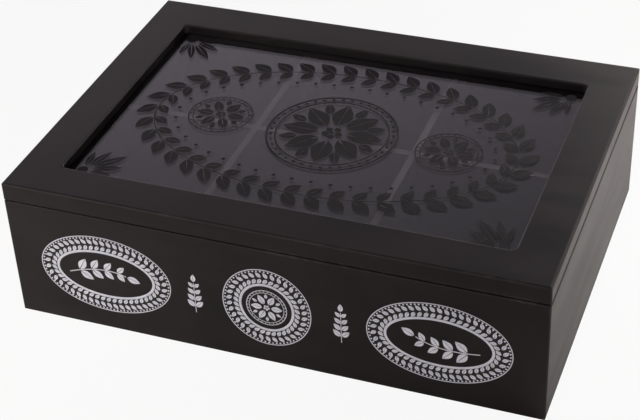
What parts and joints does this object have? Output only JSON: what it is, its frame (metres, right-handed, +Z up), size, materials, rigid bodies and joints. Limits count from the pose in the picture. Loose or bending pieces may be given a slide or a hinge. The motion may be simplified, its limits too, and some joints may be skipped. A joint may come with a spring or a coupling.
{
  "type": "compartment tea box",
  "caption": "Low rectangular tea bag box with divided compartments and a flush, rear-hinged lid with a recessed glass window.",
  "frame": {"origin": "middle of the box's underside, on the surface it stands on", "axes": "+X to the right seen from the front, +Y from the front to the hinged back, +Z up"},
  "size_m": [0.24, 0.172, 0.069],
  "materials": {
    "lacquer": "satin black lacquer on fibreboard",
    "lacquer_inside": "matt black lacquer on thin fibreboard",
    "glass": "clear float glass",
    "nickel": "nickel-plated steel",
    "print_white": "pale screen-printed ink on the front board",
    "print_dark": "matt dark screen-printed ink on the glass"
  },
  "bodies": {
    "box": {"front_panel": "lacquer", "back_panel": "lacquer", "left_panel": "lacquer", "right_panel": "lacquer", "base_panel": "lacquer_inside", "long_divider": "lacquer_inside", "left_cross_divider": "lacquer_inside", "right_cross_divider": "lacquer_inside", "left_box_leaf": "nickel", "right_box_leaf": "nickel", "left_hinge_pin": "nickel", "right_hinge_pin": "nickel", "box_leaf_screws": "nickel"},
    "lid": {"lid_frame": "lacquer", "glass_pane": "glass", "front_bead": "lacquer_inside", "back_bead": "lacquer_inside", "left_bead": "lacquer_inside", "right_bead": "lacquer_inside", "left_lid_leaf": "nickel", "right_lid_leaf": "nickel", "lid_leaf_screws": "nickel"}
  },
  "joints": [
    {"name": "lid_hinge", "type": "hinge", "parent": "box", "child": "lid", "pos_m": [0, 0.08465, 0.05825], "axis": [-1, 0, 0], "range_deg": [0, 105]}
  ]
}
